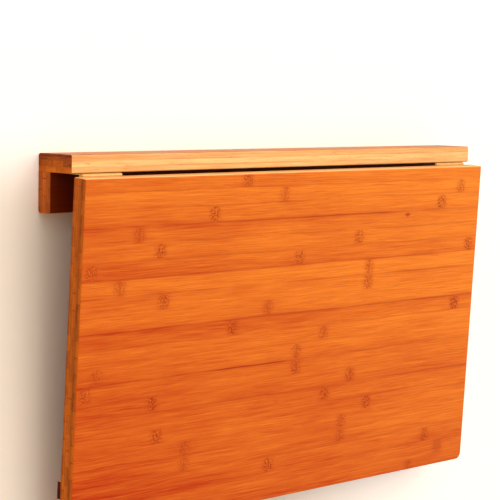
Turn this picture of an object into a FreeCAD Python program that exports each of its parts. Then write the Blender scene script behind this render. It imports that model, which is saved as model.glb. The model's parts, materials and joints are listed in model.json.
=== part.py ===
import FreeCAD, Part
import math
import os

from FreeCAD import Vector

# Wall mounted drop leaf table, shown with the leaf hanging. Millimetres, +Z up.
# Origin: middle of the wall board's back face. The wall is the plane y = 0 and the front is -Y.

# boards
table_width = 600.0
shelf_depth = 50.0
shelf_thickness = 18.0
wall_board_height = 40.0
wall_board_thickness = 18.0
leaf_length = 350.0
leaf_thickness = 18.0
arris_radius = 1.8
heel_radius = 3.0           # rounded long edges of the rail that touch the wall
leaf_corner_radius = 8.0    # free corners of the leaf
leaf_hinge_corner_radius = 1.5
leaf_lean = 3.2             # the hanging leaf swings this many degrees in towards the wall
leaf_joint_gap = 0.4        # between shelf and raised leaf
notch_width = 3.0           # saw mark at the middle of the leaf's hinge edge
notch_depth = 2.5

# dowels between wall board and shelf
dowel_radius = 4.0
dowel_length = 30.0
dowel_count = 5
dowel_pitch = 115.0
glue_gap = 0.05

# screw holes for the wall
wall_hole_radius = 2.5
wall_sink_radius = 5.0
wall_hole_outer_x = 200.0
wall_hole_inner_x = 60.0

# batten across the back of the leaf
batten_width = 18.0
batten_thickness = 18.0
batten_margin = 32.0        # from the leaf's free edge
batten_inset = 11.5         # from each end of the leaf
batten_arris_radius = 1.0
batten_screw_radius = 2.0
batten_screw_length = 29.0
batten_screw_x = (-220.0, 0.0, 220.0)

# butt hinges
hinge_length = 50.0
hinge_inset = 11.0
knuckle_radius = 2.5
knuckle_count = 5
knuckle_gap = 0.2
hinge_pin_radius = 1.25
hinge_pin_head_radius = 1.9
hinge_pin_head = 0.6
hinge_plate_thickness = 1.2
hinge_plate_width = 17.0
hinge_plate_relief = 0.3    # between a plate and the other plate's knuckles
hinge_plate_corner = 1.5
hinge_screw_radius = 1.5
hinge_screw_length = 12.0
hinge_screw_pitch = 17.0
hinge_screw_row = 8.0       # outer screws, from the pin's axis
hinge_screw_stagger = 4.0   # the middle screw lies this much further out

# folding stays
stay_inset = 65.0           # from the table's end to the face where the two arms meet
arm_thickness = 2.5
arm_width = 14.0
arm_side_gap = 0.4
wall_pivot_out = 9.0
wall_pivot_height = -228.0
bracket_batten_gap = 4.0    # along the leaf, between its bracket and the batten
leaf_pivot_drop = 9.0       # off the back face of the leaf
hung_elbow_out = 17.0       # the folded stay's elbow stands this far off the wall
over_centre = 3.0           # how far the elbow passes the straight line when the leaf is up
rivet_radius = 2.5
rivet_head_radius = 4.6
rivet_head = 1.5
rivet_formed_head = 1.2     # the end that is hammered over
pivot_gap = 0.05            # radial, between a rivet and the arm that turns on it
elbow_tail = 18.0           # the lower arm runs on past the elbow to carry the stop
stop_start = 9.0            # from the elbow's pivot to the stop tab
stop_gap = 0.3
bracket_thickness = 2.5
bracket_width = 30.0
bracket_length = 48.0
bracket_nose_radius = 8.0
bracket_corner = 4.0
bracket_hole_pitch = 32.0
bracket_wall_hole_radius = 2.5
bracket_wall_sink_radius = 4.6
bracket_screw_radius = 1.75
bracket_screw_length = 15.0
screw_hole_gap = 0.05

sink_ratio = 2.0            # head radius of a countersunk wood screw over its shank radius
tip_ratio = 0.25            # blunt end of its tip, over its shank radius
screw_tip = 2.5

half_width = table_width / 2
shelf_bottom = wall_board_height / 2
shelf_top = shelf_bottom + shelf_thickness
hinge_axis_y = -shelf_depth - leaf_joint_gap / 2
hinge_axis_z = shelf_bottom - knuckle_radius
leaf_edge_y = -shelf_depth - leaf_joint_gap
leaf_top = shelf_bottom + leaf_thickness
hang_angle = 90.0 + leaf_lean
batten_reach = leaf_length - batten_margin - batten_width
leaf_pivot_reach = batten_reach - bracket_batten_gap - bracket_length / 2
hinge_middle_x = half_width - hinge_inset - hinge_length / 2
stay_x = half_width - stay_inset
x_axis = Vector(1, 0, 0)
hinge_axis = Vector(0, hinge_axis_y, hinge_axis_z)


def box(x0, x1, y0, y1, z0, z1):
    return Part.makeBox(x1 - x0, y1 - y0, z1 - z0, Vector(x0, y0, z0))


def rod(radius, start, direction, length):
    return Part.makeCylinder(radius, length, start, direction)


def fillet(shape, radius, wanted):
    """Rounds the edges for which wanted(edge) is true."""
    return shape.makeFillet(radius, [edge for edge in shape.Edges if wanted(edge)])


def runs_along(edge, axis):
    first, last = edge.Vertexes[0].Point, edge.Vertexes[-1].Point
    return len(edge.Vertexes) == 2 and (last - first).cross(axis).Length < 1e-6


def at(value, target):
    return abs(value - target) < 1e-4


def hung(shape):
    """Swings a leaf piece, built with the leaf raised, down to where it hangs."""
    shape.rotate(hinge_axis, x_axis, hang_angle)
    return shape


def mirrored(shape):
    return shape.mirror(Vector(0, 0, 0), x_axis)


def with_mirrored(shapes):
    return shapes + [mirrored(shape) for shape in shapes]


def save(name, *solids):
    shape = solids[0] if len(solids) == 1 else Part.makeCompound(list(solids))
    shape.exportStep(f"parts/{name}.step")


def screw(head, direction, radius, length):
    """Countersunk wood screw with its flat head at the point given."""
    sink = radius * (sink_ratio - 1)
    body = rod(radius, head, direction, length - screw_tip)
    cone = Part.makeCone(radius * sink_ratio, radius, sink, head, direction)
    tip_start = head + direction * (length - screw_tip)
    tip = Part.makeCone(radius, radius * tip_ratio, screw_tip, tip_start, direction)
    return body.fuse([cone, tip]).removeSplitter()


def screw_hole(head, direction, radius, length):
    """Room for that screw, a little wider all round."""
    wide = radius + screw_hole_gap
    sink = radius * (sink_ratio - 1)
    cone = Part.makeCone(radius * sink_ratio + screw_hole_gap, wide, sink, head, direction)
    return rod(wide, head, direction, length + screw_hole_gap).fuse(cone)


# rail: shelf, wall board and dowels

def dowel_places():
    first = -(dowel_count - 1) / 2 * dowel_pitch
    return [first + i * dowel_pitch for i in range(dowel_count)]


def dowel(x, radius, length):
    start = Vector(x, -wall_board_thickness / 2, shelf_bottom - length / 2)
    return rod(radius, start, Vector(0, 0, 1), length)


def dowel_bores():
    return [dowel(x, dowel_radius + glue_gap, dowel_length + 2 * glue_gap) for x in dowel_places()]


def make_shelf_board():
    board = box(-half_width, half_width, -shelf_depth, 0, shelf_bottom, shelf_top)
    board = fillet(board, heel_radius, lambda edge: runs_along(edge, x_axis)
                   and at(edge.CenterOfMass.y, 0) and at(edge.CenterOfMass.z, shelf_top))
    board = fillet(board, arris_radius, lambda edge: runs_along(edge, x_axis)
                   and at(edge.CenterOfMass.y, -shelf_depth))
    return board.cut(dowel_bores() + hinge_screw_holes(1))


def make_wall_board():
    board = box(-half_width, half_width, -wall_board_thickness, 0, -shelf_bottom, shelf_bottom)
    board = fillet(board, heel_radius, lambda edge: runs_along(edge, x_axis)
                   and at(edge.CenterOfMass.y, 0) and at(edge.CenterOfMass.z, -shelf_bottom))
    board = fillet(board, arris_radius, lambda edge: runs_along(edge, x_axis)
                   and at(edge.CenterOfMass.y, -wall_board_thickness)
                   and at(edge.CenterOfMass.z, -shelf_bottom))
    holes = []
    for x in (-wall_hole_outer_x, -wall_hole_inner_x, wall_hole_inner_x, wall_hole_outer_x):
        front = Vector(x, -wall_board_thickness, 0)
        sink = wall_sink_radius - wall_hole_radius
        holes.append(rod(wall_hole_radius, front, Vector(0, 1, 0), wall_board_thickness))
        holes.append(Part.makeCone(wall_sink_radius, wall_hole_radius, sink, front, Vector(0, 1, 0)))
    return board.cut(dowel_bores() + holes)


# leaf and its batten, built raised

def make_leaf_panel():
    end_y = leaf_edge_y - leaf_length
    panel = box(-half_width, half_width, end_y, leaf_edge_y, shelf_bottom, leaf_top)
    z_axis = Vector(0, 0, 1)
    panel = fillet(panel, leaf_corner_radius, lambda edge: runs_along(edge, z_axis)
                   and at(edge.CenterOfMass.y, end_y))
    panel = fillet(panel, leaf_hinge_corner_radius, lambda edge: runs_along(edge, z_axis)
                   and at(edge.CenterOfMass.y, leaf_edge_y))
    panel = fillet(panel, arris_radius, lambda edge: at(edge.CenterOfMass.z, leaf_top)
                   or (at(edge.CenterOfMass.z, shelf_bottom) and edge.CenterOfMass.y < leaf_edge_y - 1))
    notch = box(-notch_width / 2, notch_width / 2, leaf_edge_y - notch_depth, leaf_edge_y,
                shelf_bottom, shelf_bottom + notch_depth)
    holes = hinge_screw_holes(-1) + batten_screw_holes() + leaf_bracket_screw_holes()
    return hung(panel.cut([notch] + holes))


def batten_screw_spots():
    y = leaf_edge_y - batten_reach - batten_width / 2
    return [Vector(x, y, shelf_bottom - batten_thickness) for x in batten_screw_x]


def batten_screw_holes():
    up = Vector(0, 0, 1)
    spots = batten_screw_spots()
    return [screw_hole(spot, up, batten_screw_radius, batten_screw_length) for spot in spots]


def make_leaf_batten():
    near = leaf_edge_y - batten_reach
    end = half_width - batten_inset
    batten = box(-end, end, near - batten_width, near, shelf_bottom - batten_thickness, shelf_bottom)
    batten = fillet(batten, batten_arris_radius, lambda edge: edge.CenterOfMass.z < shelf_bottom - 1)
    return hung(batten.cut(batten_screw_holes()))


def make_batten_screws():
    up = Vector(0, 0, 1)
    spots = batten_screw_spots()
    return [hung(screw(spot, up, batten_screw_radius, batten_screw_length)) for spot in spots]


# butt hinges: side is 1 for the plate under the shelf and -1 for the plate under the leaf

def hinge_screw_spots(side):
    """Head positions on the left hinge."""
    spots = []
    for i in (-1, 0, 1):
        out = hinge_screw_row + (hinge_screw_stagger if i == 0 else 0)
        spots.append(Vector(i * hinge_screw_pitch - hinge_middle_x, hinge_axis_y + side * out,
                            shelf_bottom - hinge_plate_thickness))
    return spots


def hinge_screw_holes(side):
    up = Vector(0, 0, 1)
    spots = hinge_screw_spots(side)
    return with_mirrored([screw_hole(spot, up, hinge_screw_radius, hinge_screw_length) for spot in spots])


def make_hinge_screws(side):
    up = Vector(0, 0, 1)
    return [screw(spot, up, hinge_screw_radius, hinge_screw_length) for spot in hinge_screw_spots(side)]


def make_hinge_plate(side):
    """Left hinge's plate: knuckles rolled from the sheet, level with the board's underside."""
    start = -hinge_middle_x - hinge_length / 2
    knuckle = hinge_length / knuckle_count
    near = knuckle_radius + hinge_plate_relief
    bottom = shelf_bottom - hinge_plate_thickness
    ys = sorted((hinge_axis_y + side * near, hinge_axis_y + side * hinge_plate_width))
    plate = box(start, start + hinge_length, ys[0], ys[1], bottom, shelf_bottom)
    far_y = hinge_axis_y + side * hinge_plate_width
    plate = fillet(plate, hinge_plate_corner, lambda edge: runs_along(edge, Vector(0, 0, 1))
                   and at(edge.CenterOfMass.y, far_y))
    first = 0 if side == 1 else 1
    for i in range(first, knuckle_count, 2):
        x0 = start + i * knuckle + knuckle_gap / 2
        x1 = x0 + knuckle - knuckle_gap
        barrel = rod(knuckle_radius, Vector(x0, hinge_axis_y, hinge_axis_z), x_axis, x1 - x0)
        neck_ys = sorted((hinge_axis_y, hinge_axis_y + side * near))
        plate = plate.fuse([barrel, box(x0, x1, neck_ys[0], neck_ys[1], bottom, shelf_bottom)])
    bore_start = Vector(start, hinge_axis_y, hinge_axis_z)
    bore = rod(hinge_pin_radius + pivot_gap, bore_start, x_axis, hinge_length)
    return plate.removeSplitter().cut([bore] + hinge_screw_holes(side))


def make_hinge_pin():
    start = -hinge_middle_x - hinge_length / 2
    pin = rod(hinge_pin_radius, Vector(start, hinge_axis_y, hinge_axis_z), x_axis, hinge_length)
    heads = []
    for x, way in ((start, -1), (start + hinge_length, 1)):
        face = Vector(x, hinge_axis_y, hinge_axis_z)
        outward = x_axis * way
        heads.append(Part.makeCone(hinge_pin_head_radius, hinge_pin_radius, hinge_pin_head, face, outward))
    return pin.fuse(heads).removeSplitter()


# folding stays: the left one is built, the right one mirrored
# Side view points are (out, up) = (y, z). Pieces lie in layers across X, counted from the face
# where the two arms meet, towards the middle of the table.

def turned(point, centre, degrees):
    turn = math.radians(degrees)
    dy, dz = point[0] - centre[0], point[1] - centre[1]
    return (centre[0] + dy * math.cos(turn) - dz * math.sin(turn),
            centre[1] + dy * math.sin(turn) + dz * math.cos(turn))


def heading(start, end):
    return math.degrees(math.atan2(end[1] - start[1], end[0] - start[0]))


def folded_elbow(first, second, total, y):
    """Upper point with this y whose distances to the two pivots add up to the arms' total length."""
    slope = (second[1] - first[1]) / total
    far = (y - second[0]) ** 2 + second[1] ** 2
    near = (y - first[0]) ** 2 + first[1] ** 2
    start = (total + (near - far) / total) / 2
    a = 1 - slope ** 2
    b = -2 * first[1] - 2 * slope * start
    c = near - start ** 2
    return (y, (-b + math.sqrt(b ** 2 - 4 * a * c)) / (2 * a))


def sagging_elbow(first, second, first_length, second_length):
    """Where two arms from these pivots meet, just below the line between them."""
    span = math.dist(first, second)
    along = (span ** 2 + first_length ** 2 - second_length ** 2) / (2 * span)
    off = math.sqrt(first_length ** 2 - along ** 2)
    uy, uz = (second[0] - first[0]) / span, (second[1] - first[1]) / span
    return (first[0] + uy * along - uz * off, first[1] + uz * along + uy * off)


wall_pivot = (-wall_pivot_out, wall_pivot_height)
raised_leaf_pivot = (leaf_edge_y - leaf_pivot_reach, shelf_bottom - leaf_pivot_drop)
hung_leaf_pivot = turned(raised_leaf_pivot, (hinge_axis_y, hinge_axis_z), hang_angle)
raised_span = math.dist(wall_pivot, raised_leaf_pivot)
arms_total = raised_span + 2 * over_centre ** 2 / raised_span
hung_elbow = folded_elbow(wall_pivot, hung_leaf_pivot, arms_total, -hung_elbow_out)
lower_arm_length = math.dist(wall_pivot, hung_elbow)
upper_arm_length = math.dist(hung_leaf_pivot, hung_elbow)
raised_elbow = sagging_elbow(wall_pivot, raised_leaf_pivot, lower_arm_length, upper_arm_length)
raised_bend = math.radians(heading(wall_pivot, raised_elbow) - heading(raised_elbow, raised_leaf_pivot))

upper_arm_layer = -arm_side_gap / 2 - arm_thickness
lower_arm_layer = arm_side_gap / 2
leaf_cheek_layer = upper_arm_layer - arm_side_gap - bracket_thickness
wall_cheek_layer = lower_arm_layer + arm_thickness + arm_side_gap


def stood(shape, pivot, degrees, layer):
    """Turns a flat piece drawn in XY, from its pivot along X, into the stay's upright plane."""
    shape.rotate(Vector(0, 0, 0), Vector(1, 1, 1), 120)
    shape.rotate(Vector(0, 0, 0), x_axis, degrees)
    shape.translate(Vector(layer - stay_x, pivot[0], pivot[1]))
    return shape


def bar(start, end, radius, thickness):
    """Flat bar along X with round ends."""
    ends = [Part.makeCylinder(radius, thickness, Vector(x, 0, 0)) for x in (start, end)]
    return box(start, end, -radius, radius, 0, thickness).fuse(ends).removeSplitter()


def pivot_bore(x):
    return Part.makeCylinder(rivet_radius + pivot_gap, arm_thickness, Vector(x, 0, 0))


def make_upper_arm():
    arm = bar(0, upper_arm_length, arm_width / 2, arm_thickness)
    arm = arm.cut([pivot_bore(0), pivot_bore(upper_arm_length)])
    return stood(arm, hung_leaf_pivot, heading(hung_leaf_pivot, hung_elbow), upper_arm_layer)


def make_lower_arm():
    """Its stop tab reaches over the upper arm's top edge, and meets it when the stay is locked."""
    half = arm_width / 2
    end = lower_arm_length + elbow_tail - half
    arm = bar(0, end, half, arm_thickness)
    arm = arm.cut([pivot_bore(0), pivot_bore(lower_arm_length)])
    start = lower_arm_length + stop_start
    under = half / math.cos(raised_bend) + (end - lower_arm_length) * math.tan(raised_bend) + stop_gap
    over = under + arm_thickness
    riser = box(start, end, -over, 0, 0, arm_thickness)
    tab = box(start, end, -over, -under, -arm_side_gap - arm_thickness, arm_thickness)
    arm = arm.fuse([riser, tab]).removeSplitter()
    return stood(arm, wall_pivot, heading(wall_pivot, hung_elbow), lower_arm_layer)


def rivet(pivot, head_layer, way, lengths):
    """Head, then shank, then formed end; lengths are the shank's and where the end starts, if it has one."""
    head = Vector(head_layer - stay_x, pivot[0], pivot[1])
    inward = x_axis * way
    cap = Part.makeCone(rivet_head_radius, rivet_radius, rivet_head, head, x_axis * -way)
    shank_length, end_start = lengths
    pieces = [rod(rivet_radius, head, inward, shank_length)]
    if end_start is not None:
        end = head + inward * end_start
        pieces.append(Part.makeCone(rivet_head_radius, rivet_radius, rivet_formed_head, end, inward))
    return cap.fuse(pieces).removeSplitter()


def make_pivot_rivet(pivot, cheek_layer, way):
    """Holds an arm to a bracket's cheek, with its head on the cheek's outer face."""
    head_layer = cheek_layer if way == 1 else cheek_layer + bracket_thickness
    end_start = bracket_thickness + arm_thickness + 2 * arm_side_gap
    return rivet(pivot, head_layer, way, (end_start, end_start))


def make_elbow_rivet(layer, way):
    """One half of the elbow's rivet, ending level with its own arm."""
    head_layer = layer if way == 1 else layer + arm_thickness
    return rivet(hung_elbow, head_layer, way, (arm_thickness, None))


def bracket(nose_out, layer_side, hole_radius, sink_radius):
    """Angle bracket in XY: its base stands on the line x = 0, its cheek's nose is at x = nose_out."""
    half = bracket_length / 2
    t = bracket_thickness
    nose = Part.makeCylinder(bracket_nose_radius, t, Vector(nose_out, 0, 0))
    turn = math.atan2(half, -nose_out) - math.acos(bracket_nose_radius / math.hypot(nose_out, half))
    touch = Vector(nose_out, 0, 0) + Vector(math.cos(turn), math.sin(turn), 0) * bracket_nose_radius
    low = Vector(touch.x, -touch.y, 0)
    outline = Part.makePolygon([Vector(0, -half, 0), low, touch, Vector(0, half, 0), Vector(0, -half, 0)])
    cheek = Part.Face(outline).extrude(Vector(0, 0, t)).fuse(nose)
    z0, z1 = (0, bracket_width) if layer_side == 1 else (t - bracket_width, t)
    base = box(0, t, -half, half, z0, z1)
    far_z = z1 if layer_side == 1 else z0
    base = fillet(base, bracket_corner, lambda edge: runs_along(edge, x_axis)
                  and at(edge.CenterOfMass.z, far_z))
    cuts = [Part.makeCylinder(rivet_radius + pivot_gap, t, Vector(nose_out, 0, 0))]
    for y in (-bracket_hole_pitch / 2, bracket_hole_pitch / 2):
        face = Vector(t, y, (z0 + z1 + layer_side * t) / 2)
        cuts.append(rod(hole_radius, face, x_axis * -1, t))
        cuts.append(Part.makeCone(sink_radius, hole_radius, sink_radius - hole_radius, face, x_axis * -1))
    return cheek.fuse(base).removeSplitter().cut(cuts)


def make_wall_bracket():
    piece = bracket(wall_pivot_out, 1, bracket_wall_hole_radius, bracket_wall_sink_radius)
    return stood(piece, (0, wall_pivot_height), 180, wall_cheek_layer)


def leaf_bracket_screw_spots():
    """Head positions under the raised leaf, left bracket first."""
    spots = []
    x = leaf_cheek_layer + bracket_thickness / 2 - bracket_width / 2 - stay_x
    for way in (-1, 1):
        y = leaf_edge_y - leaf_pivot_reach + way * bracket_hole_pitch / 2
        spots.append(Vector(x, y, shelf_bottom - bracket_thickness))
    return spots


def leaf_bracket_screw_holes():
    up = Vector(0, 0, 1)
    spots = leaf_bracket_screw_spots()
    holes = [screw_hole(spot, up, bracket_screw_radius, bracket_screw_length) for spot in spots]
    return with_mirrored(holes)


def make_leaf_bracket():
    wide = bracket_screw_radius + screw_hole_gap
    piece = bracket(leaf_pivot_drop, -1, wide, bracket_screw_radius * sink_ratio + screw_hole_gap)
    foot = (leaf_edge_y - leaf_pivot_reach, shelf_bottom)
    return hung(stood(piece, foot, 270, leaf_cheek_layer))


def make_leaf_bracket_screws():
    up = Vector(0, 0, 1)
    spots = leaf_bracket_screw_spots()
    return [hung(screw(spot, up, bracket_screw_radius, bracket_screw_length)) for spot in spots]


def save_hinges():
    for name, place in (("left", lambda shape: shape), ("right", mirrored)):
        save(f"hinge_{name}_shelf_plate", place(make_hinge_plate(1)))
        save(f"hinge_{name}_leaf_plate", place(hung(make_hinge_plate(-1))))
        save(f"hinge_{name}_pin", place(make_hinge_pin()))
        save(f"hinge_{name}_shelf_screws", *[place(piece) for piece in make_hinge_screws(1)])
        save(f"hinge_{name}_leaf_screws", *[place(hung(piece)) for piece in make_hinge_screws(-1)])


def save_stays():
    for name, place in (("left", lambda shape: shape), ("right", mirrored)):
        save(f"stay_{name}_wall_bracket", place(make_wall_bracket()))
        save(f"stay_{name}_lower_arm", place(make_lower_arm()))
        save(f"stay_{name}_upper_arm", place(make_upper_arm()))
        save(f"stay_{name}_leaf_bracket", place(make_leaf_bracket()))
        save(f"stay_{name}_wall_rivet", place(make_pivot_rivet(wall_pivot, wall_cheek_layer, -1)))
        save(f"stay_{name}_leaf_rivet", place(make_pivot_rivet(hung_leaf_pivot, leaf_cheek_layer, 1)))
        save(f"stay_{name}_elbow_rivet_head", place(make_elbow_rivet(lower_arm_layer, -1)))
        save(f"stay_{name}_elbow_rivet_end", place(make_elbow_rivet(upper_arm_layer, 1)))
        save(f"stay_{name}_leaf_screws", *[place(piece) for piece in make_leaf_bracket_screws()])


os.makedirs("parts", exist_ok=True)
save("shelf_board", make_shelf_board())
save("wall_board", make_wall_board())
save("rail_dowels", *[dowel(x, dowel_radius, dowel_length) for x in dowel_places()])
save("leaf_panel", make_leaf_panel())
save("leaf_batten", make_leaf_batten())
save("batten_screws", *make_batten_screws())
save_hinges()
save_stays()
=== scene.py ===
import json
from math import cos, pi, radians, sin

import bmesh
import bpy
from mathutils import Matrix, Vector


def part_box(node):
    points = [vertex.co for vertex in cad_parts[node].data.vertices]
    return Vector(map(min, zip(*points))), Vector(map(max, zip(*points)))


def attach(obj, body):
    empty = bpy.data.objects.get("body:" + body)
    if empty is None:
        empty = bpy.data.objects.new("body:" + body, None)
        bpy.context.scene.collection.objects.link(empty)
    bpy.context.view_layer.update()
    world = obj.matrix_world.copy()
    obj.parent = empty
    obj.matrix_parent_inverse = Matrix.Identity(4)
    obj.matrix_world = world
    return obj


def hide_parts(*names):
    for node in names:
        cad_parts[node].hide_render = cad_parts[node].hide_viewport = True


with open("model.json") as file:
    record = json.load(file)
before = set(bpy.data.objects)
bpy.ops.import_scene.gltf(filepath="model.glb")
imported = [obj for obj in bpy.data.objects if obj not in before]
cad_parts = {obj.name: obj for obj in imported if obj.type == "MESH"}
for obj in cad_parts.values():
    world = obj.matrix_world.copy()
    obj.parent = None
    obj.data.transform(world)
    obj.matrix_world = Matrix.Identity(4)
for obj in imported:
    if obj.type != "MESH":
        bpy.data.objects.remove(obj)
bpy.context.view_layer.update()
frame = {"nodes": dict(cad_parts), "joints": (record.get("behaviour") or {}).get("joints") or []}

nodes = frame["nodes"]
perMetre = 1000   # boards, grain and screws are measured in millimetres


def paint(red, green, blue):
    # 0 to 255 as a colour picker shows it, to the linear values that a shader takes
    def linear(value):
        value = value / 255
        return value / 12.92 if value <= 0.04045 else ((value + 0.055) / 1.055) ** 2.4
    return (linear(red), linear(green), linear(blue), 1.0)


class Wire:
    # one value on its way through a shader, with plain arithmetic
    def __init__(self, ink, socket):
        self.ink = ink
        self.socket = socket

    def also(self, name):
        return Wire(self.ink, self.socket.node.outputs[name])   # another output of the same node

    def __add__(self, other):
        return self.ink.maths("ADD", self, other)

    def __radd__(self, other):
        return self.ink.maths("ADD", other, self)

    def __sub__(self, other):
        return self.ink.maths("SUBTRACT", self, other)

    def __rsub__(self, other):
        return self.ink.maths("SUBTRACT", other, self)

    def __mul__(self, other):
        return self.ink.maths("MULTIPLY", self, other)

    def __rmul__(self, other):
        return self.ink.maths("MULTIPLY", other, self)

    def __truediv__(self, other):
        return self.ink.maths("DIVIDE", self, other)

    def __abs__(self):
        return self.ink.maths("ABSOLUTE", self)


class Ink:
    # writes the nodes of one material or world
    def __init__(self, owner):
        self.owner = owner
        self.owner.use_nodes = True
        self.tree = self.owner.node_tree
        self.tree.nodes.clear()

    def node(self, kind, settings=None, values=None, out=0):
        made = self.tree.nodes.new(kind)
        for name, value in (settings or {}).items():
            if name == "stops":
                self.setStops(made.color_ramp, value)
            else:
                setattr(made, name, value)
        for name, value in (values or {}).items():
            if isinstance(value, Wire):
                self.tree.links.new(value.socket, made.inputs[name])
            else:
                made.inputs[name].default_value = value
        return Wire(self, made.outputs[out]) if len(made.outputs) else None

    def setStops(self, ramp, stops):
        # steps, with no blending from one to the next
        ramp.interpolation = "CONSTANT"
        while len(ramp.elements) > 1:
            ramp.elements.remove(ramp.elements[0])
        for number, (place, colour) in enumerate(stops):
            stop = ramp.elements[0] if number == 0 else ramp.elements.new(place)
            stop.position = place
            stop.color = colour

    def maths(self, operation, first, second=0.0, third=0.0, clamp=False):
        return self.node("ShaderNodeMath", {"operation": operation, "use_clamp": clamp},
                         {0: first, 1: second, 2: third})

    def floor(self, value):
        return self.maths("FLOOR", value)

    def lower(self, first, second):
        return self.maths("MINIMUM", first, second)

    def higher(self, first, second):
        return self.maths("MAXIMUM", first, second)

    def clamp(self, value):
        return self.maths("ADD", value, clamp=True)

    def smooth(self, value, low, high):
        # from 0 at low to 1 at high
        return self.node("ShaderNodeMapRange", {"interpolation_type": "SMOOTHSTEP"},
                         {"Value": value, "From Min": low, "From Max": high})

    def fade(self, value, low, high):
        return 1 - self.smooth(value, low, high)

    def dot(self, vector, direction):
        return self.node("ShaderNodeVectorMath", {"operation": "DOT_PRODUCT"},
                         {0: vector, 1: direction}, out="Value")

    def join(self, first, second, third):
        return self.node("ShaderNodeCombineXYZ", None, {"X": first, "Y": second, "Z": third})

    def noise(self, first, second, third, detail=2.0, roughness=0.5):
        # from -0.5 to 0.5
        return self.node("ShaderNodeTexNoise", None,
                         {"Vector": self.join(first, second, third), "Scale": 1.0, "Detail": detail,
                          "Roughness": roughness}) - 0.5

    def chance(self, first, second, third):
        # from 0 to 1, the same wherever all three are the same
        return self.node("ShaderNodeTexWhiteNoise", None, {"Vector": self.join(first, second, third)},
                         out="Value")

    def cells(self, feature, first, second, third):
        return self.node("ShaderNodeTexVoronoi", {"feature": feature},
                         {"Vector": self.join(first, second, third), "Scale": 1.0}, out="Distance")

    def mix(self, factor, first, second):
        return self.node("ShaderNodeMix", {"data_type": "RGBA", "clamp_factor": True},
                         {0: factor, 6: first, 7: second}, out=2)

    def lookUp(self, place, rows):
        # the row of three values for the whole number that place comes to
        count = len(rows)
        stops = [(number / count, (*row, 1.0)) for number, row in enumerate(rows)]
        ramp = self.node("ShaderNodeValToRGB", {"stops": stops}, {0: (place + 0.5) / count})
        red = self.node("ShaderNodeSeparateColor", None, {0: ramp})
        return [red, red.also("Green"), red.also("Blue")]

    def surface(self, values, bump):
        values["Normal"] = self.node("ShaderNodeBump", None, bump)
        shader = self.node("ShaderNodeBsdfPrincipled", None, values)
        self.node("ShaderNodeOutputMaterial", None, {"Surface": shader})
        return self.owner


# bamboo boards: faces show wide strips, flanks the edges of the plies, ends the cut fibres
bambooColours = {
    "faceDeep": paint(184, 50, 0), "facePale": paint(246, 146, 46),
    "flankDeep": paint(212, 122, 54), "flankPale": paint(250, 222, 160),
    "endDeep": paint(112, 40, 4), "endPale": paint(212, 112, 20),
    # the last colour on the next line is painted shade, for the sides of a board that lie in shadow
    "mark": paint(160, 36, 0), "seam": paint(168, 44, 2), "paintedShade": paint(66, 8, 0),
}
bambooGloss = {
    "roughness": 0.46, "specular": 0.13, "coat": 0.02, "coatRoughness": 0.25,
    "fibreShare": 0.25, "endShare": 0.2, "knuckleShare": 0.12,   # what each adds to the roughness
    "bump": {"Strength": 0.13, "Distance": 0.0003},
}
# how high the streaks and fibres stand and how deep the seams and knuckles lie
bambooBump = {"streak": 0.35, "fibre": 0.5, "seam": 0.7, "knuckle": 0.6}
# where a surface starts to count as the board's end or flank, and where it wholly does
facingEdge = (0.55, 0.85)

# each kind of streak: how long, wide and deep, the detail and roughness of its noise, and its share
# in the tone
fibreLook = {
    "broad": {"size": (120, 6, 7), "grain": (3.0, 0.55), "share": 0.55},
    "streak": {"size": (55, 1.3, 1.3), "grain": (3.0, 0.6), "share": 0.95},
    "fibre": {"size": (18, 0.5, 0.5), "grain": (2.0, 0.6), "share": 0.38},
    "fleck": {"size": (13, 0.8, 0.8), "grain": (2.0, 0.5), "share": 0.3, "edge": (0.13, 0.26)},
    "mottle": {"size": (150, 70), "share": 0.35},
    "wander": (90, 9), "sway": 5,   # how long and wide the fibres' waves are, and how high
    "acrossStrip": 0.35,            # how much the tone may change from one side of a strip to the other
}
# a seam is a thin dark line in a wide soft one, each with its start, end and strength
seamLook = {
    "lines": ((0.1, 1.4, 0.8), (0.5, 4.5, 0.25)), "sway": 0.12, "depth": (0.15, 0.5),
    "patch": 110, "patchEdge": (-0.14, 0.12), "patchShare": 0.8,
}
# a knuckle is a patch of curled dashes, or one thin ragged line across the strip
knuckleLook = {
    "curly": (0.2, 0.5), "curlShare": (0.3, 0.7), "lineShare": (0.8, 0.6),
    "dash": (3.4, 2.3), "dashEdge": (0.06, 0.30), "warp": 4, "warpStrength": 2.4,
    "gap": (2.2, 2.0), "gapEdge": (-0.10, 0.06),
    "patch": (4.5, 11.0), "corner": (0.2, 0.5), "rounding": 4, "ragged": 9,
    "bend": 5, "bendGrain": (3.0, 0.7), "lineBend": 6, "line": (0.3, 1.5), "fromSeam": (0.3, 1.8),
    "strength": 0.9, "variety": 70, "varietyShare": 1.6, "opacity": 0.9, "paleness": 0.12,
    "blush": (1.0, 14.0), "blushShare": (0.10, 0.18),
}
knotLook = {"size": (8, 3.4), "ragged": 0.8, "edge": (0.3, 1.1), "opacity": 0.75}
flankLook = {"broad": 0.7, "streak": 0.8, "fibre": 0.3, "fleck": 0.45, "plyLine": (0.1, 0.9),
             "plyShare": 0.4}
endLook = {
    "blockShift": 0.37, "blockShare": 0.35, "blockLine": (0.2, 1.1), "blockDark": (0.0, 0.25),
    "blockOpacity": 0.6, "cornerShare": 0.08, "cut": (14, 1.2), "cutGrain": (3.0, 0.6), "cutShare": 1.1,
    "pore": 0.9, "poreMiddle": 0.4, "poreShare": 0.35, "plyDark": (-0.05, 0.15), "plyOpacity": 0.55,
}
# shifts within the noise that keep strips, seams, plies and blocks from looking alike
apart = {
    "fibres": 60, "seam": (3.7, 5.1), "bend": (9.1, 2.7), "variety": 3.3,
    "stripSeeds": (0.0, 7.3, 13.7), "seamSeed": 3.1, "blockSeed": 5.9,
}

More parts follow.
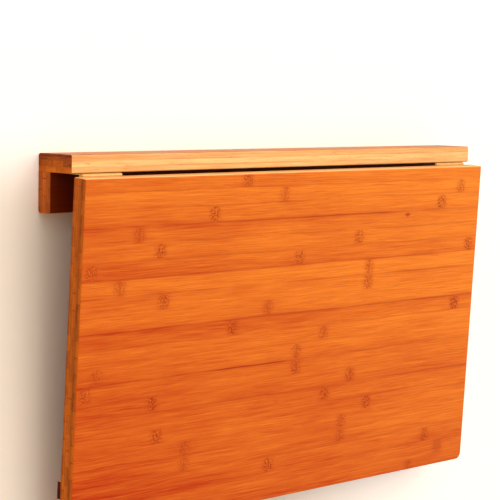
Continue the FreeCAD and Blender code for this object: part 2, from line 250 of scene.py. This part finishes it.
# the leaf hangs: its place is where it lies level in line with the shelf, turned down about its hinges
leafJoint = next(joint for joint in frame["joints"] if joint["name"] == "leaf_hinge")
hang = Matrix.Rotation(radians(leafJoint["range_deg"][1]), 3, "X")
leafDown = hang @ Vector((0, -1, 0))
leafOut = hang @ Vector((0, 0, 1))
leafGap = 0.4 / perMetre   # from the shelf to the level leaf
hingeLine = Vector(leafJoint["pos_m"])
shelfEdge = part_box("shelf_board")[0]
leafCorner = hingeLine + hang @ (shelfEdge - Vector((0, leafGap, 0)) - hingeLine)


def wallCorner(node):
    # where the board's left end, its underside and the wall meet
    low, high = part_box(node)
    return Vector((low.x, high.y, low.z))


# the leaf's front, from the hinges down: tone of each strip, how dark the seam above it is, how curly
# its knuckles are, and how far along from the left they sit, in metres
away = 0.99   # past the board's end
leafStrips = [
    (-0.2, 0.0, 1.0, 0.216, away, away), (0.5, 0.3, 0.5, 0.564, 0.271, away),
    (0.0, 0.25, 0.9, 0.171, 0.531, away), (-0.2, 0.75, 0.4, 0.071, away, away),
    (0.1, 0.4, 1.0, 0.100, 0.392, away), (-0.6, 0.3, 0.9, 0.299, 0.585, 0.012),
    (0.8, 0.5, 0.4, 0.049, 0.412, away), (0.5, 0.5, 0.8, 0.412, 0.107, away),
    (0.6, 0.1, 0.5, 0.255, away, away), (-0.6, 0.6, 1.0, 0.205, 0.566, away),
    (0.4, 0.3, 0.7, 0.344, away, away), (0.2, 0.2, 0.6, 0.024, 0.303, away),
    (-0.1, 1.0, 0.9, 0.011, 0.303, away), (-0.3, 0.3, 0.9, 0.098, 0.391, away),
    (-0.2, 0.5, 1.0, 0.351, away, away), (0.0, 0.15, 1.0, 0.106, 0.421, away),
    (0.1, 0.05, 0.6, 0.381, 0.146, away), (-0.2, 0.1, 0.5, 0.381, 0.146, away),
    (-0.4, 0.35, 0.8, 0.269, 0.528, away), (-0.1, 0.2, 0.5, 0.554, away, away),
    (-0.35, 0.3, 0.6, 0.503, away, away),
]

# a board is measured in millimetres from a hair off its corner, which keeps every face clear of the
# line between two plies or strips
hair = 0.001 / perMetre
plainBoard = {
    "along": (1, 0, 0), "length": 600, "thickness": 18, "ply": 6, "stripWidth": 17, "strips": None,
    "toneSpread": 0.15,     # how much the strips differ
    "paintedLightDrift": (0.0, 0.0),    # painted light: how much paler the right end is, and the top, where the light falls brighter
    "shade": None,          # painted shade: how dark the side that lies in shadow is painted, and from which depth to which
    "knot": None,           # how far along and across it lies
    "endBlock": 0,          # how far from the corner the end is a little darker
    "colours": {},
}
leafBoard = {
    **plainBoard, "corner": leafCorner, "across": leafDown, "out": leafOut, "hair": hair, "width": 350,
    "firstEdge": 14, "strips": leafStrips, "toneSpread": 0.16, "seed": 10.0, "paintedLightDrift": (0.30, 0.30),
    "knuckleEvery": 260, "shade": (0.65, 2.5, 0.5), "knot": (472, 52), "flankTones": (0.4, 0.3, 0.65),
    "endTones": (0.42, 0.74, 0.72, 0.60, 0.42, 0.66), "endBlock": 22,
}
shelfBoard = {
    **plainBoard, "corner": wallCorner("shelf_board"), "across": (0, -1, 0), "out": (0, 0, 1),
    "hair": -hair, "width": 50, "firstEdge": 10, "seed": 20.0, "knuckleEvery": 290,
    "shade": (0.5, 2.5, 0.5), "flankTones": (0.62, 0.72, 0.46),
    "endTones": (0.85, 0.7, 0.5, 0.5, 0.45, 0.25), "endBlock": 20,
    "colours": {"faceDeep": paint(164, 96, 42), "facePale": paint(198, 138, 76)},
}
wallBoard = {
    **plainBoard, "corner": wallCorner("wall_board"), "across": (0, 0, 1), "out": (0, -1, 0),
    "hair": -hair, "width": 40, "firstEdge": 6, "seed": 30.0, "knuckleEvery": 240,
    "shade": (0.8, 15.5, 17.5), "flankTones": (0.5, 0.6, 0.5),
    "endTones": (0.45, 0.6, 0.85, 0.7, 0.6, 0.5),
    "colours": {"faceDeep": paint(160, 52, 0), "facePale": paint(214, 98, 16),
                "endDeep": paint(116, 44, 6), "endPale": paint(206, 108, 36)},
}
battenBar = {
    **plainBoard, "corner": leafCorner, "across": leafDown, "out": leafOut, "hair": hair, "width": 350,
    "stripWidth": 9, "firstEdge": 3, "toneSpread": 0.2, "seed": 40.0, "knuckleEvery": 230,
    "flankTones": (0.5, 0.3, 0.5), "endTones": (0.3, 0.5, 0.3),
    # endDeep and endPale below are painted shade, as the batten's end lies in shadow behind the leaf
    "colours": {"faceDeep": paint(160, 52, 2), "facePale": paint(226, 110, 30),
                "endDeep": paint(56, 12, 2), "endPale": paint(104, 34, 8)},
}


class Bamboo:
    # the finish of one board
    def __init__(self, name, board):
        self.ink = Ink(bpy.data.materials.new(name))
        self.board = board
        self.colours = {**bambooColours, **board["colours"]}
        self.place = self.ink.node("ShaderNodeTexCoord", out="Object")
        self.corner = board["corner"] + (Vector(board["out"]) - Vector(board["across"])) * board["hair"]
        self.along = self.measured(board["along"])
        self.across = self.measured(board["across"])
        self.depth = self.measured(board["out"])
        self.ply = self.ink.floor(self.depth / board["ply"])
        self.plySeam = self.nearPlySeam()
        self.layStrips()
        self.growFibres()
        self.markSeams()
        self.markKnuckles()

    def measured(self, direction):
        start = perMetre * self.corner.dot(Vector(direction))
        return self.ink.dot(self.place, direction) * perMetre - start

    def nearPlySeam(self):
        inPly = self.depth / self.board["ply"] - self.ply
        return self.ink.fade(self.ink.lower(inPly, 1 - inPly) * self.board["ply"], *flankLook["plyLine"])

    def faceNoise(self, size):
        # the same noise in all strips and plies
        return self.ink.noise(self.along / size[0], self.across / size[1], self.board["seed"])

    def layStrips(self):
        # strips lie side by side, each with its own tone and its own knuckles
        ink, board, seed = self.ink, self.board, self.board["seed"]
        self.wander = self.faceNoise(fibreLook["wander"])
        self.stripPlace = (self.across - board["firstEdge"]) / board["stripWidth"] + 1
        self.strip = ink.floor(self.stripPlace)
        self.inStrip = self.stripPlace - self.strip
        seamPlace = self.stripPlace + self.wander * seamLook["sway"]
        self.seamNumber = ink.floor(seamPlace + 0.5)
        self.nearSeam = abs(seamPlace - self.seamNumber) * board["stripWidth"]
        self.chances = [ink.chance(self.strip, self.ply, seed + shift) for shift in apart["stripSeeds"]]
        self.stripTone = self.chances[0] * 2 - 1
        least, more = seamLook["depth"]
        self.seamDepth = least + ink.chance(self.seamNumber, self.ply, seed + apart["seamSeed"]) * more
        self.curl = ink.smooth(self.chances[2], *knuckleLook["curly"])
        turns = self.along / board["knuckleEvery"] + self.chances[1]
        self.fromKnuckle = abs(turns - ink.floor(turns) - 0.5) * board["knuckleEvery"]
        if board["strips"]:
            self.listStrips()

    def listStrips(self):
        # the front shows the strips as they are listed
        ink, board = self.ink, self.board
        isFront = ink.maths("GREATER_THAN", self.depth, board["thickness"] - board["ply"])

        def onFront(listed, other):
            return other + isFront * (listed - other)

        looks = [(0.5 + tone / 2, seam, curl) for tone, seam, curl, *marks in board["strips"]]
        listed = ink.lookUp(self.strip, looks)
        marks = ink.lookUp(self.strip, [marks for tone, seam, curl, *marks in board["strips"]])
        gaps = [abs(self.along - mark * perMetre) for mark in marks]
        self.stripTone = onFront(listed[0] * 2 - 1, self.stripTone)
        self.seamDepth = onFront(ink.lookUp(self.seamNumber, looks)[1], self.seamDepth)
        self.curl = onFront(listed[2], self.curl)
        self.fromKnuckle = onFront(ink.lower(ink.lower(gaps[0], gaps[1]), gaps[2]), self.fromKnuckle)

    def drawnOut(self, look, shift):
        long, wide, deep = look["size"]
        return self.ink.noise(self.along / long, self.wavy / wide, self.depth / deep + shift,
                              *look["grain"])

    def growFibres(self):
        # fibres run along the board
        ink, board, look = self.ink, self.board, fibreLook
        shifts = [chance * apart["fibres"] for chance in self.chances]
        self.wavy = self.across + self.wander * look["sway"]
        self.broad = self.drawnOut(look["broad"], shifts[0])
        self.streak = self.drawnOut(look["streak"], shifts[1])
        self.fibre = self.drawnOut(look["fibre"], shifts[2])
        self.fleck = ink.smooth(self.drawnOut(look["fleck"], board["seed"]), *look["fleck"]["edge"])
        tone = 0.5 + self.stripTone * board["toneSpread"]
        tone = tone + (self.inStrip - 0.5) * (self.chances[2] - 0.5) * look["acrossStrip"]
        tone = tone + self.broad * look["broad"]["share"] + self.streak * look["streak"]["share"]
        tone = tone + self.fibre * look["fibre"]["share"]
        tone = tone + self.faceNoise(look["mottle"]["size"]) * look["mottle"]["share"]
        # painted light: paler to the right and towards the top, where the lamp falls brighter
        tone = tone + (self.along / board["length"] - 0.5) * board["paintedLightDrift"][0]
        self.tone = ink.clamp(tone - (self.across / board["width"] - 0.5) * board["paintedLightDrift"][1])

    def markSeams(self):
        # some are dark, some hardly there, none the whole way along
        ink, look = self.ink, seamLook
        perSeam, perPly = apart["seam"]
        patches = ink.noise(self.along / look["patch"], self.seamNumber * perSeam,
                            self.ply * perPly + self.board["seed"])
        self.patchy = ink.smooth(patches, *look["patchEdge"])
        thin, soft = [ink.fade(self.nearSeam, start, end) * strength
                      for start, end, strength in look["lines"]]
        share = look["patchShare"]
        self.seam = (thin + soft) * (1 - share + self.patchy * share) * self.seamDepth

    def markKnuckles(self):
        ink, look, seed = self.ink, knuckleLook, self.board["seed"]
        perStrip, perPly = apart["bend"]
        bend = ink.noise(self.across / look["bend"], self.strip * perStrip, self.ply * perPly + seed,
                         *look["bendGrain"])
        rounding = ink.smooth(abs(self.inStrip - 0.5), *look["corner"]) * look["rounding"]
        self.patch = ink.fade(self.fromKnuckle + rounding + abs(bend) * look["ragged"], *look["patch"])
        line = ink.fade(abs(self.fromKnuckle + bend * look["lineBend"]), *look["line"])
        curlLeast, curlMore = look["curlShare"]
        lineMost, lineLess = look["lineShare"]
        knuckle = ink.higher(self.curledDashes() * self.patch * (curlLeast + self.curl * curlMore),
                             line * (lineMost - self.curl * lineLess))
        knuckle = knuckle * ink.smooth(self.nearSeam, *look["fromSeam"])
        variety = ink.noise(self.along / look["variety"], self.strip * apart["variety"], seed)
        self.knuckle = ink.clamp(knuckle * (look["strength"] + variety * look["varietyShare"]))
        least, more = look["blushShare"]
        self.blush = ink.fade(self.fromKnuckle, *look["blush"]) * (least + self.chances[2] * more)

    def curledDashes(self):
        ink, look = self.ink, knuckleLook
        warp = self.faceNoise((look["warp"], look["warp"])) * look["warpStrength"]
        long, wide = look["dash"]
        toEdge = ink.cells("DISTANCE_TO_EDGE", self.along / long + warp, self.across / wide + warp,
                           self.strip)
        dashes = ink.fade(toEdge, *look["dashEdge"])
        return dashes * ink.smooth(self.faceNoise(look["gap"]), *look["gapEdge"])

    def faceColour(self):
        ink, board, colours = self.ink, self.board, self.colours
        face = ink.mix(self.tone, colours["faceDeep"], colours["facePale"])
        dark = ink.clamp(self.seam + self.fleck * fibreLook["fleck"]["share"] + self.blush)
        face = ink.mix(dark, face, colours["seam"])
        face = ink.mix(self.patch * self.curl * knuckleLook["paleness"], face, colours["facePale"])
        face = ink.mix(self.knuckle * knuckleLook["opacity"], face, colours["mark"])
        if board["knot"]:
            face = ink.mix(self.knot() * knotLook["opacity"], face, colours["mark"])
        if board["shade"]:
            # painted shade: the side that lies in shadow (the leaf's back, the shelf's underside, the
            # wall board's front) is darkened
            strength, start, end = board["shade"]
            face = ink.mix(ink.smooth(self.depth, start, end) * strength, face, colours["paintedShade"])
        return face

    def knot(self):
        along, across = self.board["knot"]
        long, wide = knotLook["size"]
        fromKnot = abs(self.along - along) / long + abs(self.across - across) / wide
        return self.ink.fade(fromKnot + self.wander * knotLook["ragged"], *knotLook["edge"])

    def flankColour(self):
        # the flank shows the plies from the side
        ink, look = self.ink, flankLook
        tone = ink.lookUp(self.ply, [(tone, tone, tone) for tone in self.board["flankTones"]])[0]
        tone = tone + self.broad * look["broad"] + self.streak * look["streak"]
        tone = ink.clamp(tone + self.fibre * look["fibre"])
        flank = ink.mix(tone, self.colours["flankDeep"], self.colours["flankPale"])
        dark = ink.clamp(self.plySeam * self.patchy * look["plyShare"] + self.fleck * look["fleck"])
        return ink.mix(dark, flank, self.colours["seam"])

    def endColour(self):
        # the end shows cut fibres, in blocks with some of their edges dark
        ink, board, look, seed = self.ink, self.board, endLook, self.board["seed"]
        steps = board["endTones"]
        tone = ink.lookUp(ink.floor(self.depth / (board["thickness"] / len(steps))),
                          [(tone, tone, tone) for tone in steps])[0]
        place = self.stripPlace + self.ply * look["blockShift"]
        block = ink.floor(place)
        blockEdge = ink.fade(ink.lower(place - block, block + 1 - place) * board["stripWidth"],
                             *look["blockLine"])
        blockTone = ink.chance(block, self.ply, seed + apart["blockSeed"]) - 0.5
        long, wide = look["cut"]
        cut = ink.noise(self.across / long, self.depth / wide, seed, *look["cutGrain"])
        pores = ink.cells("F1", 0.0, self.across / look["pore"], self.depth / look["pore"])
        tone = tone + blockTone * look["blockShare"] + cut * look["cutShare"]
        tone = tone - (pores - look["poreMiddle"]) * look["poreShare"]
        if board["endBlock"]:
            inBlock = ink.fade(self.across, board["endBlock"] - 1, board["endBlock"])
            tone = tone - inBlock * look["cornerShare"]
        dark = ink.higher(self.plySeam * ink.smooth(cut, *look["plyDark"]) * look["plyOpacity"],
                          blockEdge * ink.smooth(blockTone, *look["blockDark"]) * look["blockOpacity"])
        end = ink.mix(ink.clamp(tone), self.colours["endDeep"], self.colours["endPale"])
        return ink.mix(dark, end, self.colours["endDeep"])

    def facing(self, direction):
        # 1 where the surface faces along the direction, either way
        return self.ink.smooth(abs(self.ink.dot(self.place.also("Normal"), direction)), *facingEdge)

    def finish(self):
        ink, gloss, bump = self.ink, bambooGloss, bambooBump
        onEnd = self.facing(self.board["along"])
        side = ink.mix(self.facing(self.board["across"]), self.faceColour(), self.flankColour())
        roughness = gloss["roughness"] + self.fibre * gloss["fibreShare"] + onEnd * gloss["endShare"]
        roughness = roughness + self.knuckle * gloss["knuckleShare"]
        height = self.streak * bump["streak"] + self.fibre * bump["fibre"]
        height = height - self.seam * bump["seam"] - self.knuckle * bump["knuckle"]
        return ink.surface({"Base Color": ink.mix(onEnd, side, self.endColour()), "Roughness": roughness,
                            "Specular IOR Level": gloss["specular"], "Coat Weight": gloss["coat"],
                            "Coat Roughness": gloss["coatRoughness"]},
                           {"Height": height, **gloss["bump"]})


# rolled strip with a thin plating: fine lines, soft blotches and duller patches
platingLook = {
    "lineGrain": (3.0, 0.6), "blotch": 6, "blotchGrain": (3.0, 0.55),
    "patch": 17, "patchEdge": (0.0, 0.2),
    "tone": 0.4, "blotchTone": 0.8, "lineTone": 0.5, "patchTone": 0.3,
    "blotchShare": 0.15, "lineShare": 0.2, "patchShare": 0.12,   # what each adds to the roughness
    "bump": {"Strength": 0.10, "Distance": 0.0001},
}
brassLook = {"colour": paint(224, 184, 126), "shade": paint(188, 142, 82), "lines": (4, 0.3, 0.3),
             "roughness": 0.36}
zincLook = {"colour": paint(204, 206, 210), "shade": paint(176, 180, 186), "lines": (0.3, 0.5, 5),
            "roughness": 0.38}


def metal(name, look):
    ink, plating = Ink(bpy.data.materials.new(name)), platingLook
    place = ink.node("ShaderNodeTexCoord", out="Object")
    ways = [ink.dot(place, way) * perMetre for way in ((1, 0, 0), (0, 1, 0), (0, 0, 1))]
    lines = ink.noise(*[way / width for way, width in zip(ways, look["lines"])], *plating["lineGrain"])
    blotch = ink.noise(*[way / plating["blotch"] for way in ways], *plating["blotchGrain"])
    dull = ink.smooth(ink.noise(*[way / plating["patch"] for way in ways]), *plating["patchEdge"])
    tone = plating["tone"] + blotch * plating["blotchTone"] + lines * plating["lineTone"]
    colour = ink.mix(ink.clamp(tone + dull * plating["patchTone"]), look["colour"], look["shade"])
    roughness = look["roughness"] + blotch * plating["blotchShare"] + lines * plating["lineShare"]
    roughness = roughness + dull * plating["patchShare"]
    return ink.surface({"Base Color": colour, "Metallic": 1.0, "Roughness": roughness},
                       {"Height": lines, **plating["bump"]})


leafFinish = Bamboo("bambooLeaf", leafBoard).finish()
shelfFinish = Bamboo("bambooShelf", shelfBoard).finish()
wallFinish = Bamboo("bambooWallBoard", wallBoard).finish()
battenFinish = Bamboo("bambooBatten", battenBar).finish()
brass = metal("brassedSteel", brassLook)
zinc = metal("zincPlatedSteel", zincLook)
print("finishes made")


def finishOf(name):
    if name == "leaf_panel":
        return leafFinish
    if name == "shelf_board":
        return shelfFinish
    if name == "wall_board":
        return wallFinish
    if name in ("leaf_batten", "rail_dowels"):
        return battenFinish
    if name.startswith("hinge"):
        return brass
    return zinc


for name, piece in nodes.items():
    piece.data.materials.clear()
    piece.data.materials.append(finishOf(name))
print("boards and fittings dressed")

# wood screws with a cross recess, in metres; what is a ratio is a share of the shank's or head's radius
screwLook = {"headRatio": 2.0, "rimRatio": 0.97, "rim": 0.00006, "neck": 0.0008, "tip": 0.0025,
             "shoulderRatio": 0.9, "tipRatio": 0.25, "tipFace": 0.0001, "pitch": 0.0011,
             "threadHeight": 0.00022, "root": 0.35, "crest": 0.8, "sides": 28,
             "armLength": 0.62, "armWidth": 0.17, "recessDepth": 0.62, "recessTaper": 0.55,
             "firstTurn": 0.4, "turn": 0.83}
hingeScrew = {"radius": 0.0015, "length": 0.012, "slot": "brassed_steel"}
battenScrew = {"radius": 0.0020, "length": 0.029, "slot": "zinc_plated_steel"}
stayScrew = {"radius": 0.00175, "length": 0.015, "slot": "zinc_plated_steel"}


def crossOutline(size, depth):
    long, wide = screwLook["armLength"] * size, screwLook["armWidth"] * size
    corners = []
    for quarter in range(4):
        turn = Matrix.Rotation(quarter * pi / 2, 3, "Z")
        corners += [turn @ Vector((x, y, depth)) for x, y in ((long, -wide), (long, wide), (wide, wide))]
    return corners


def screwProfile(look):
    # radius and place of each ring, from the head's rim to the tip
    radius = look["radius"]
    headRadius = radius * screwLook["headRatio"]
    sink = headRadius - radius
    tipStart = look["length"] - screwLook["tip"]
    neckEnd = sink + screwLook["neck"]
    profile = [(headRadius * screwLook["rimRatio"], 0.0), (headRadius, screwLook["rim"]), (radius, sink),
               (radius, neckEnd)]
    # the thread's ridges stay inside the shank's own radius
    place = neckEnd
    pitch = screwLook["pitch"]
    while place < tipStart - pitch:
        profile.append((radius - screwLook["threadHeight"], place + pitch * screwLook["root"]))
        profile.append((radius, place + pitch * screwLook["crest"]))
        place += pitch
    return profile + [(radius * screwLook["shoulderRatio"], tipStart),
                      (radius * screwLook["tipRatio"], look["length"] - screwLook["tipFace"])]


def cutRecess(mesh, rim, headRadius):
    # closes the head between its rim and the cross recess
    edge = [mesh.verts.new(corner) for corner in crossOutline(headRadius, 0.0)]
    size, depth = headRadius * screwLook["recessTaper"], headRadius * screwLook["recessDepth"]
    ground = [mesh.verts.new(corner) for corner in crossOutline(size, depth)]
    count, sides = len(edge), len(rim)
    outline = [mesh.edges.new((edge[i], edge[(i + 1) % count])) for i in range(count)]
    outline += [mesh.edges.get((rim[i], rim[(i + 1) % sides])) for i in range(sides)]
    bmesh.ops.triangle_fill(mesh, use_beauty=True, edges=outline)
    for i in range(count):
        after = (i + 1) % count
        mesh.faces.new((edge[i], edge[after], ground[after], ground[i]))
    mesh.faces.new(ground)


def screw(head, direction, look, turn):
    # built along +Z from the middle of the head, then laid along its direction
    mesh = bmesh.new()
    sides = screwLook["sides"]
    angles = [2 * pi * side / sides for side in range(sides)]
    rings = []
    for wide, along in screwProfile(look):
        rings.append([mesh.verts.new((wide * cos(angle), wide * sin(angle), along)) for angle in angles])
    for near, far in zip(rings, rings[1:]):
        for side in range(sides):
            after = (side + 1) % sides
            mesh.faces.new((near[side], near[after], far[after], far[side]))
    mesh.faces.new(rings[-1])
    cutRecess(mesh, rings[0], look["radius"] * screwLook["headRatio"])

    tilt = Vector((0, 0, 1)).rotation_difference(Vector(direction)).to_matrix()
    laid = tilt @ Matrix.Rotation(turn, 3, "Z")
    for corner in mesh.verts:
        corner.co = laid @ corner.co + Vector(head)
    bmesh.ops.recalc_face_normals(mesh, faces=mesh.faces)
    if mesh.calc_volume(signed=True) < 0:
        bmesh.ops.reverse_faces(mesh, faces=mesh.faces)
    data = bpy.data.meshes.new("screw")
    mesh.to_mesh(data)
    mesh.free()
    return data


def screws(node, body, spots, direction, look):
    mesh = bmesh.new()
    for number, spot in enumerate(spots):
        mesh.from_mesh(screw(spot, direction, look, screwLook["firstTurn"] + number * screwLook["turn"]))
    data = bpy.data.meshes.new(node + "_dressed")
    mesh.to_mesh(data)
    mesh.free()
    data.materials.append(finishOf(node))
    piece = bpy.data.objects.new(node + "_dressed", data)
    bpy.context.scene.collection.objects.link(piece)
    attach(piece, body)
    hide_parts(node)


# where the heads lie, in millimetres from the wall or down the leaf from its hinge edge, how much
# nearer to the pin a hinge's outer screws are, and how thick the plate or bar is that a screw holds
hingeSpots = {"pitch": 17, "shelfRow": 38.2, "leafRow": 11.8, "stagger": 4, "plate": 1.2}
staySpots = {"down": (256, 288), "plate": 2.5}
battenSpots = {"pitch": 220, "down": 309, "plate": 18}


def leafPoint(x, down, plate):
    # x in metres; on the outer face of a plate on the leaf's back
    corner = Vector((x, leafCorner.y, leafCorner.z))
    return corner + leafDown * down / perMetre - leafOut * plate / perMetre


def middleOf(node):
    low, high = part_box(node)
    return (low.x + high.x) / 2


for side in ("left", "right"):
    middle = middleOf(f"hinge_{side}_pin")
    plateFace = shelfEdge.z - hingeSpots["plate"] / perMetre
    offsets = [(number * hingeSpots["pitch"] / perMetre, abs(number) * hingeSpots["stagger"])
               for number in (-1, 0, 1)]
    onShelf = [(middle + along, -(hingeSpots["shelfRow"] + nearer) / perMetre, plateFace)
               for along, nearer in offsets]
    onLeaf = [leafPoint(middle + along, hingeSpots["leafRow"] - nearer, hingeSpots["plate"])
              for along, nearer in offsets]
    stayMiddle = middleOf(f"stay_{side}_leaf_screws")
    onStay = [leafPoint(stayMiddle, down, staySpots["plate"]) for down in staySpots["down"]]
    screws(f"hinge_{side}_shelf_screws", "rail", onShelf, (0, 0, 1), hingeScrew)
    screws(f"hinge_{side}_leaf_screws", "leaf", onLeaf, leafOut, hingeScrew)
    screws(f"stay_{side}_leaf_screws", "leaf", onStay, leafOut, stayScrew)
onBatten = [leafPoint(number * battenSpots["pitch"] / perMetre, battenSpots["down"], battenSpots["plate"])
            for number in (-1, 0, 1)]
screws("batten_screws", "leaf", onBatten, leafOut, battenScrew)
print("screws made")

roomLook = {"wall": (0.93, 0.925, 0.93, 1.0), "wallLift": 0.29, "lift": (0.86, 0.90, 1.0, 1.0),
            "ground": (0.34, 0.34, 0.33, 1.0), "groundLift": 0.58, "half": 6.0, "floorHalf": 14.0,
            "floor": -0.75, "top": 2.6, "wallFront": 0.0004,
            "above": (-0.02, 0.07), "beside": (-0.05, 0.30), "touching": 0.004}


def paleFinish(name, colour, lift, isWall):
    ink = Ink(bpy.data.materials.new(name))
    camera = ink.node("ShaderNodeLightPath", out="Is Camera Ray")
    mirrored = ink.higher(camera.also("Is Glossy Ray"), camera.also("Is Transmission Ray"))
    seen = ink.higher(camera, mirrored)
    plaster = ink.node("ShaderNodeBsdfDiffuse", None, {"Color": colour})
    if isWall:
        # painted light: the wall glows more above the table and on its right, where nothing shades it,
        # and less where the table's shadow falls
        place = ink.node("ShaderNodeTexCoord", out="Object")
        clearAbove = ink.smooth(ink.dot(place, (0, 0, 1)), *roomLook["above"])
        clearBeside = ink.smooth(ink.dot(place, (1, 0, 0)), *roomLook["beside"])
        lift = lift * ink.higher(clearAbove, clearBeside)
    glow = ink.node("ShaderNodeEmission", None, {"Color": roomLook["lift"], "Strength": seen * lift})
    shader = ink.node("ShaderNodeAddShader", None, {0: plaster, 1: glow})
    if isWall:
        # clear from behind, and what lies against it is lit as if it weren't there
        back = ink.node("ShaderNodeNewGeometry", out="Backfacing")
        touching = ink.maths("LESS_THAN", camera.also("Ray Length"), roomLook["touching"])
        clear = ink.node("ShaderNodeBsdfTransparent")
        shader = ink.node("ShaderNodeMixShader", None,
                          {0: ink.higher(back, touching), 1: shader, 2: clear})
    ink.node("ShaderNodeOutputMaterial", None, {"Surface": shader})
    return ink.owner


def sheet(name, corners, finish):
    mesh = bpy.data.meshes.new(name)
    mesh.from_pydata(corners, [], [(0, 1, 2, 3)])
    mesh.materials.append(finish)
    made = bpy.data.objects.new(name, mesh)
    bpy.context.scene.collection.objects.link(made)


half, low, high, front = (roomLook[word] for word in ("half", "floor", "top", "wallFront"))
sheet("roomWall", [(-half, front, low), (half, front, low), (half, front, high), (-half, front, high)],
      paleFinish("paleWall", roomLook["wall"], roomLook["wallLift"], True))
half = roomLook["floorHalf"]
sheet("roomFloor", [(-half, -half, low), (half, -half, low), (half, half, low), (-half, half, low)],
      paleFinish("paleFloor", roomLook["ground"], roomLook["groundLift"], False))

# brightest on one side and above, and even behind the wall, which hides that half from the front
skyLook = {"brightest": (0.42, -0.80, 0.43), "low": 0.16, "high": 1.85, "from": -0.8, "to": 0.95,
           "behindWall": 0.8, "colour": (1.0, 0.80, 0.60, 1.0), "seen": (1.0, 1.0, 0.99, 1.0),
           "seenStrength": 0.95}


def studio(look):
    ink = Ink(bpy.data.worlds.new("studio"))
    camera = ink.node("ShaderNodeLightPath", out="Is Camera Ray")
    seen = ink.higher(camera, camera.also("Is Transmission Ray"))
    towards = ink.node("ShaderNodeTexCoord", out="Generated")
    rise = ink.node("ShaderNodeMapRange", None,
                    {"Value": ink.dot(towards, look["brightest"]), "From Min": look["from"],
                     "From Max": look["to"], "To Min": look["low"], "To Max": look["high"]})
    behind = ink.maths("GREATER_THAN", ink.dot(towards, (0, 1, 0)), 0.0)
    strength = rise + behind * (look["behindWall"] - rise)
    light = ink.node("ShaderNodeBackground", None, {"Color": look["colour"], "Strength": strength})
    white = ink.node("ShaderNodeBackground", None,
                     {"Color": look["seen"], "Strength": look["seenStrength"]})
    shown = ink.node("ShaderNodeMixShader", None, {0: seen, 1: light, 2: white})
    ink.node("ShaderNodeOutputWorld", None, {"Surface": shown})
    return ink.owner


bpy.context.scene.world = studio(skyLook)

lampLook = {"place": (0.75, -3.4, 1.9), "aim": (0.05, -0.05, -0.1), "size": 3.5, "power": 30,
            "colour": (1.0, 0.97, 0.93)}
lamp = bpy.data.lights.new("keyLamp", "AREA")
lamp.shape = "SQUARE"
lamp.size = lampLook["size"]
lamp.energy = lampLook["power"]
lamp.color = lampLook["colour"]
lampStand = bpy.data.objects.new("keyLamp", lamp)
lampStand.location = lampLook["place"]
aim = Vector(lampLook["aim"]) - Vector(lampLook["place"])
lampStand.rotation_mode = "QUATERNION"
lampStand.rotation_quaternion = aim.to_track_quat("-Z", "Y")
bpy.context.scene.collection.objects.link(lampStand)

# angles in degrees, the lens and sensor in millimetres; yaw is from straight at the wall to the right
cameraLook = {"place": (-1.40603, -1.39181, 0.111), "yaw": 45.092, "pitch": -5.287, "roll": 1.001,
              "lens": 132.08, "sensor": 36.0, "near": 0.05, "far": 60}
yaw, pitch, roll = (radians(cameraLook[word]) for word in ("yaw", "pitch", "roll"))
ahead = Vector((sin(yaw) * cos(pitch), cos(yaw) * cos(pitch), sin(pitch)))
right = Vector((cos(yaw), -sin(yaw), 0.0))
above = right.cross(ahead)
rolledRight = right * cos(roll) + above * sin(roll)
rolledAbove = above * cos(roll) - right * sin(roll)
camera = bpy.data.cameras.new("camera")
camera.lens = cameraLook["lens"]
camera.sensor_width = cameraLook["sensor"]
camera.clip_start = cameraLook["near"]
camera.clip_end = cameraLook["far"]
cameraStand = bpy.data.objects.new("camera", camera)
turned = Matrix((rolledRight, rolledAbove, -ahead)).transposed()
cameraStand.matrix_world = Matrix.Translation(cameraLook["place"]) @ turned.to_4x4()
bpy.context.scene.collection.objects.link(cameraStand)
bpy.context.scene.camera = cameraStand
bpy.context.scene.view_settings.view_transform = "Standard"
print("room, lamp and camera placed")
